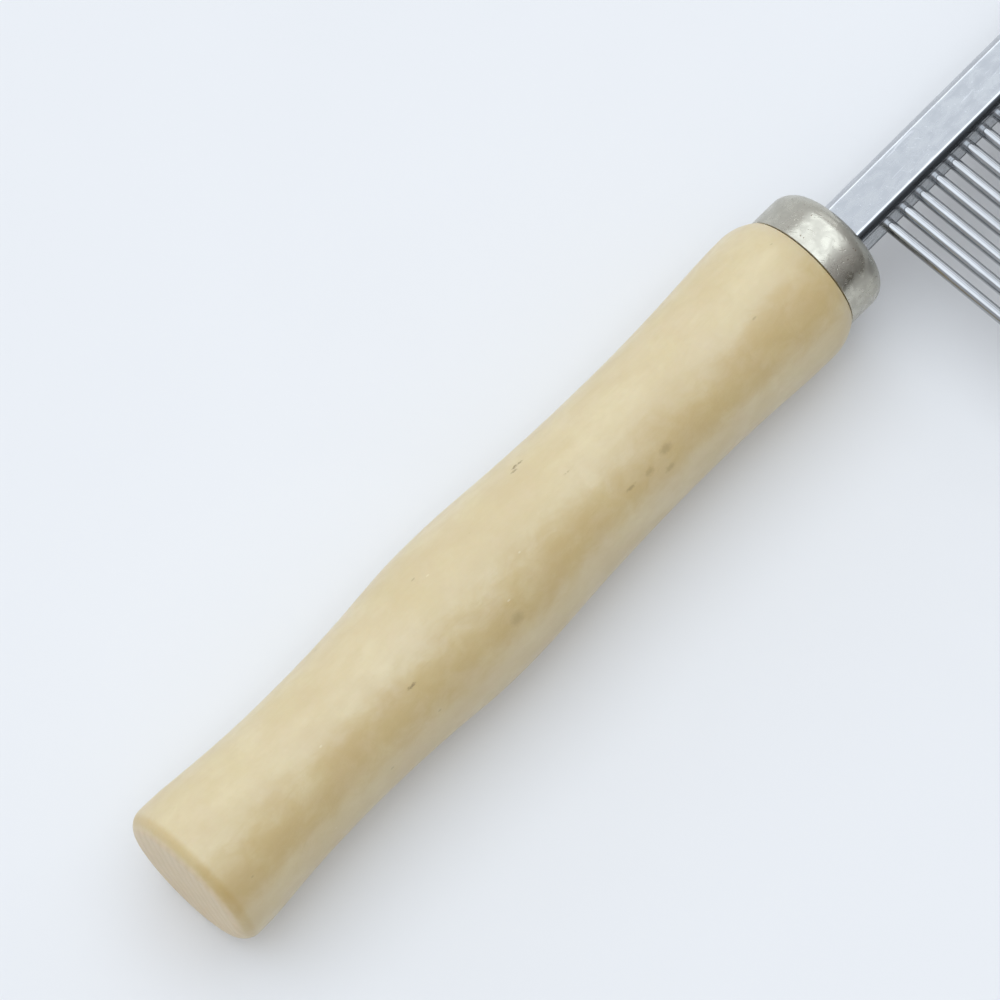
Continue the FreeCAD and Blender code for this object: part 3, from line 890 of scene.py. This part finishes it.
def make_handle():
    """The turned handle: butt, two hollows, belly and shoulder, its tenon and the tang's square hole."""
    profile = handle_profile()
    count = POINTS_ROUND_HANDLE
    rings = [worked(ring(along, reach, count), HAND_TURNING, SANDING_WAVES) for along, reach in profile]
    shoulder = profile[-1][0]
    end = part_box(HANDLE)[1].x
    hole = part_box(HANDLE)[1].y * HANDLE_HOLE_SHARE
    tenon = turned_outline(HANDLE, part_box(FERRULE)[0].x, end, hole)
    rings.append(ring(shoulder, tenon[0][1], count))
    for along, reach in tenon:
        rings.append(ring(along, reach, count))
    tang_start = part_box(BAR)[0].x
    root = widest_between(BAR, end - TANG_ROOT, end - TANG_END) + TANG_FIT
    tip = widest_between(BAR, tang_start, tang_start + TANG_END) + TANG_FIT
    for place, half in ((end, root), (tang_start, tip)):
        rings.append(ring(place, square_reach(half, TANG_CORNER), count))
    mesh = mesh_from_rings("turned_handle", rings, close_start=True, close_end=True)
    wood = waxed_wood(radius_along(profile))
    smooth_shading(add_piece("turned_handle", mesh, wood, "wood", HANDLE))


# ---------------------------------------------------------------- the ferrule

POINTS_ROUND_FERRULE = 192
FERRULE_STEP = 0.25 * MM
HOLE_FIT = 0.05 * MM
HOLE_CORNER = 1.15 * MM
PRESSING_DENTS = 0.10 * MM
LIP_STEPS = 4
RIM_STEPS = 16
INNER_RIM_STEPS = 8
FRONT_RINGS = (0.75, 0.5, 0.25, 0.04)


def make_ferrule():
    """The pressed ferrule: a cap with a rounded rim and a square hole for the bar."""
    low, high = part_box(FERRULE)
    outside = high.y
    inside = reach_at(FERRULE, low.x)[0]
    wall = outside - inside
    rim = outside - reach_at(FERRULE, high.x)[1]
    lip = wall / 3
    count = POINTS_ROUND_FERRULE
    square = square_reach(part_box(BAR)[1].y + HOLE_FIT, HOLE_CORNER)

    def between(share, circle):
        return lambda angle: square(angle) * (1 - share) + circle * share

    back_edge = arc((low.x + lip, outside - lip), lip, 180, 90, LIP_STEPS)
    side = smooth_path([(low.x + lip, outside), (high.x - rim, outside)], FERRULE_STEP)[1:-1]
    front_edge = arc((high.x - rim, outside - rim), rim, 90, 0, RIM_STEPS)
    outer = back_edge + [tuple(point) for point in side] + front_edge
    rings = [worked(ring(along, reach, count), PRESSING_DENTS, PRESSING_WAVES) for along, reach in outer]
    front = outside - rim
    for share in FRONT_RINGS:
        rings.append(ring(high.x, between(share, front), count))
    rings.append(ring(high.x - lip / 3, square, count))
    rings.append(ring(high.x - wall, square, count))
    inner_rim = rim - wall
    rings.append(ring(high.x - wall, inside - inner_rim, count))
    inner_edge = arc((high.x - rim, inside - inner_rim), inner_rim, 0, 90, INNER_RIM_STEPS)
    for along, reach in inner_edge[1:]:
        rings.append(ring(along, reach, count))
    rings.append(ring(low.x, inside, count))
    mesh = mesh_from_rings("pressed_ferrule", rings, join_ends=True)
    smooth_shading(add_piece("pressed_ferrule", mesh, worn_nickel(), "ferrule_metal", FERRULE))


# ---------------------------------------------------------------- the bar and the pins

def finish_bar():
    """The bar keeps its CAD shape and gets its plate."""
    set_material(BAR, dull_plate(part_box(BAR)[1].z / MM))


def finish_pins():
    """The pins keep their CAD shape and get their plate."""
    plate = bright_plate()
    for name in PINS:
        set_material(name, plate)


def set_material(node, material):
    """Puts one material in all of a CAD node's slots."""
    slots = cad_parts[node].material_slots
    for index in range(len(slots)):
        slots[index].material = material


# ---------------------------------------------------------------- stage, light and camera

FLOOR_SIZE = 6.0
FLOOR_COLOUR = (0.70, 0.70, 0.70, 1)
FLOOR_CLOUDS = dict(Patch_size=60.0)
FLOOR_CLOUD_SHADE = 0.985     # how dark the floor's clouding is against its colour
FLOOR_FINISH = {
    "Roughness": 0.9,
    "Specular IOR Level": 0.1,
    "Emission Color": (0.94, 0.97, 1.0, 1),
    "Emission Strength": 0.10,    # a light table: a little light comes up through it
}

LENS = 197.2
SENSOR = 36.0
CAMERA_REACH = 20.0
CAMERA_AIM = (58.55 * MM, 6.33 * MM, 0)
CAMERA_DISTANCE = 639.8 * MM
CAMERA_BEARING = -130.47      # degrees from +X round to +Y
CAMERA_ELEVATION = 67.40
CAMERA_ROLL = -6.41

# The lights' places are (x, y) slopes from straight overhead: 1 is 45 degrees down towards +X or +Y.
SOFTBOX_MIDDLE = (0.0, 0.22)
SOFTBOX_REACH = 0.76
SOFTBOX_EDGE = 0.14
SOFTBOX_LIGHT = (1.78, 1.91, 2.06, 1)
SIDE_LIGHT_MIDDLE = (2.10, 0.64)
SIDE_LIGHT_REACH = (0.80, 0.55)
SIDE_LIGHT_EDGE = 0.12        # as a share of its reach
SIDE_LIGHT = (1.30, 1.36, 1.44, 1)
STAND_MIDDLE = (0.26, 0.31, 0)
STAND_REACH = 0.20
STAND_CORE = 0.6              # share of its reach where the stand's patch is at its greyest
STAND_SHADE = 0.45
LOWEST_HEIGHT = 0.01          # the slopes stop growing this close to the horizon

# The room is warm and dark on the pins' side, pale behind the comb's back, and grey overhead.
ROOM_FRONT = (0.06, 0.055, 0.045, 1)
ROOM_BACK = (0.85, 0.89, 0.95, 1)
ROOM_TOP = (0.62, 0.62, 0.66, 1)
ROOM_TURNS = 0.9              # how far to either side the room goes on changing
ROOM_TOP_FULL = 0.95
BACKDROP = (0.80, 0.82, 0.86, 1)


def direction(bearing, elevation):
    """A unit vector from angles in degrees: bearing from +X round to +Y, elevation above the floor."""
    turn = math.radians(bearing)
    lift = math.radians(elevation)
    return Vector((math.cos(turn) * math.cos(lift), math.sin(turn) * math.cos(lift), math.sin(lift)))


def add_camera():
    """The camera, aimed at the handle's upper half."""
    data = bpy.data.cameras.new("camera")
    data.lens = LENS
    data.sensor_width = SENSOR
    data.clip_end = CAMERA_REACH
    camera = bpy.data.objects.new("camera", data)
    toward = direction(CAMERA_BEARING, CAMERA_ELEVATION)
    place = Vector(CAMERA_AIM) + toward * CAMERA_DISTANCE
    turn = toward.to_track_quat("Z", "Y") @ Quaternion((0, 0, 1), math.radians(CAMERA_ROLL))
    camera.matrix_world = Matrix.LocRotScale(place, turn, None)
    bpy.context.scene.collection.objects.link(camera)
    bpy.context.scene.camera = camera


def add_floor():
    """A plain pale floor at the handle's lowest point."""
    material, tree, shader = new_material("pale_floor")
    clouding = use_group(tree, CLOUD, place_in_mm(tree), **FLOOR_CLOUDS)
    darker = tuple(FLOOR_CLOUD_SHADE * part for part in FLOOR_COLOUR[:3]) + (1,)
    link(tree, blend_colours(tree, clouding, FLOOR_COLOUR, darker), shader, "Base Color")
    set_shader(shader, FLOOR_FINISH)
    height = cad_box[0].z
    half = FLOOR_SIZE / 2
    outline = [(-half, -half), (half, -half), (half, half), (-half, half)]
    mesh = bpy.data.meshes.new("floor")
    mesh.from_pydata([(along, aside, height) for along, aside in outline], [], [(0, 1, 2, 3)])
    mesh.materials.append(material)
    floor = bpy.data.objects.new("floor", mesh)
    bpy.context.scene.collection.objects.link(floor)


def add_light():
    """Soft studio light: a broad overhead softbox and a small side light in a dim room."""
    world = bpy.data.worlds.new("studio")
    world.use_nodes = True
    tree = world.node_tree
    parts = split(tree, tree.nodes.new("ShaderNodeTexCoord").outputs["Generated"])
    lit = blend_colours(tree, softbox_mask(tree, parts), room_light(tree, parts), SOFTBOX_LIGHT)
    lit = blend_colours(tree, side_light_mask(tree, parts), lit, SIDE_LIGHT)
    seen = tree.nodes.new("ShaderNodeLightPath").outputs["Is Camera Ray"]
    background = tree.nodes["Background"]
    link(tree, blend_colours(tree, seen, lit, BACKDROP), background, "Color")
    background.inputs["Strength"].default_value = 1.0
    bpy.context.scene.world = world
    bpy.context.scene.view_settings.view_transform = "Standard"


def room_light(tree, parts):
    """The room round the softbox: pale behind the comb's back, dark on the pins' side."""
    behind = spread(tree, parts["Y"], -ROOM_TURNS, ROOM_TURNS, smooth=False)
    low_light = blend_colours(tree, behind, ROOM_FRONT, ROOM_BACK)
    height = spread(tree, parts["Z"], 0.0, ROOM_TOP_FULL)
    return blend_colours(tree, height, low_light, ROOM_TOP)


def slopes(tree, parts):
    """A direction's slopes from straight overhead, along X and along Y."""
    height = maths(tree, "MAXIMUM", parts["Z"], LOWEST_HEIGHT)
    return over(tree, parts["X"], height), over(tree, parts["Y"], height)


def softbox_mask(tree, parts):
    """1 inside the softbox's soft-edged square, less in the greyer patch where its stand hangs."""
    along, aside = slopes(tree, parts)
    off_along = distance_from(tree, along, SOFTBOX_MIDDLE[0])
    off_aside = distance_from(tree, aside, SOFTBOX_MIDDLE[1])
    furthest = maths(tree, "MAXIMUM", off_along, off_aside)
    inner = SOFTBOX_REACH - SOFTBOX_EDGE
    outer = SOFTBOX_REACH + SOFTBOX_EDGE
    square = spread(tree, furthest, inner, outer, 1.0, 0.0)
    away = vector_maths(tree, "DISTANCE", joined(tree, along, aside), STAND_MIDDLE)
    stand = spread(tree, away, STAND_REACH * STAND_CORE, STAND_REACH, STAND_SHADE, 1.0)
    return times(tree, square, stand)


def side_light_mask(tree, parts):
    """1 inside the small light beside the softbox, beyond the comb's free end."""
    offs = []
    for slope, middle, reach in zip(slopes(tree, parts), SIDE_LIGHT_MIDDLE, SIDE_LIGHT_REACH):
        offs.append(over(tree, distance_from(tree, slope, middle), reach))
    furthest = maths(tree, "MAXIMUM", *offs)
    return spread(tree, furthest, 1 - SIDE_LIGHT_EDGE, 1 + SIDE_LIGHT_EDGE, 1.0, 0.0)


# ---------------------------------------------------------------- the scene

make_handle()
make_ferrule()
finish_bar()
finish_pins()
add_floor()
add_light()
add_camera()
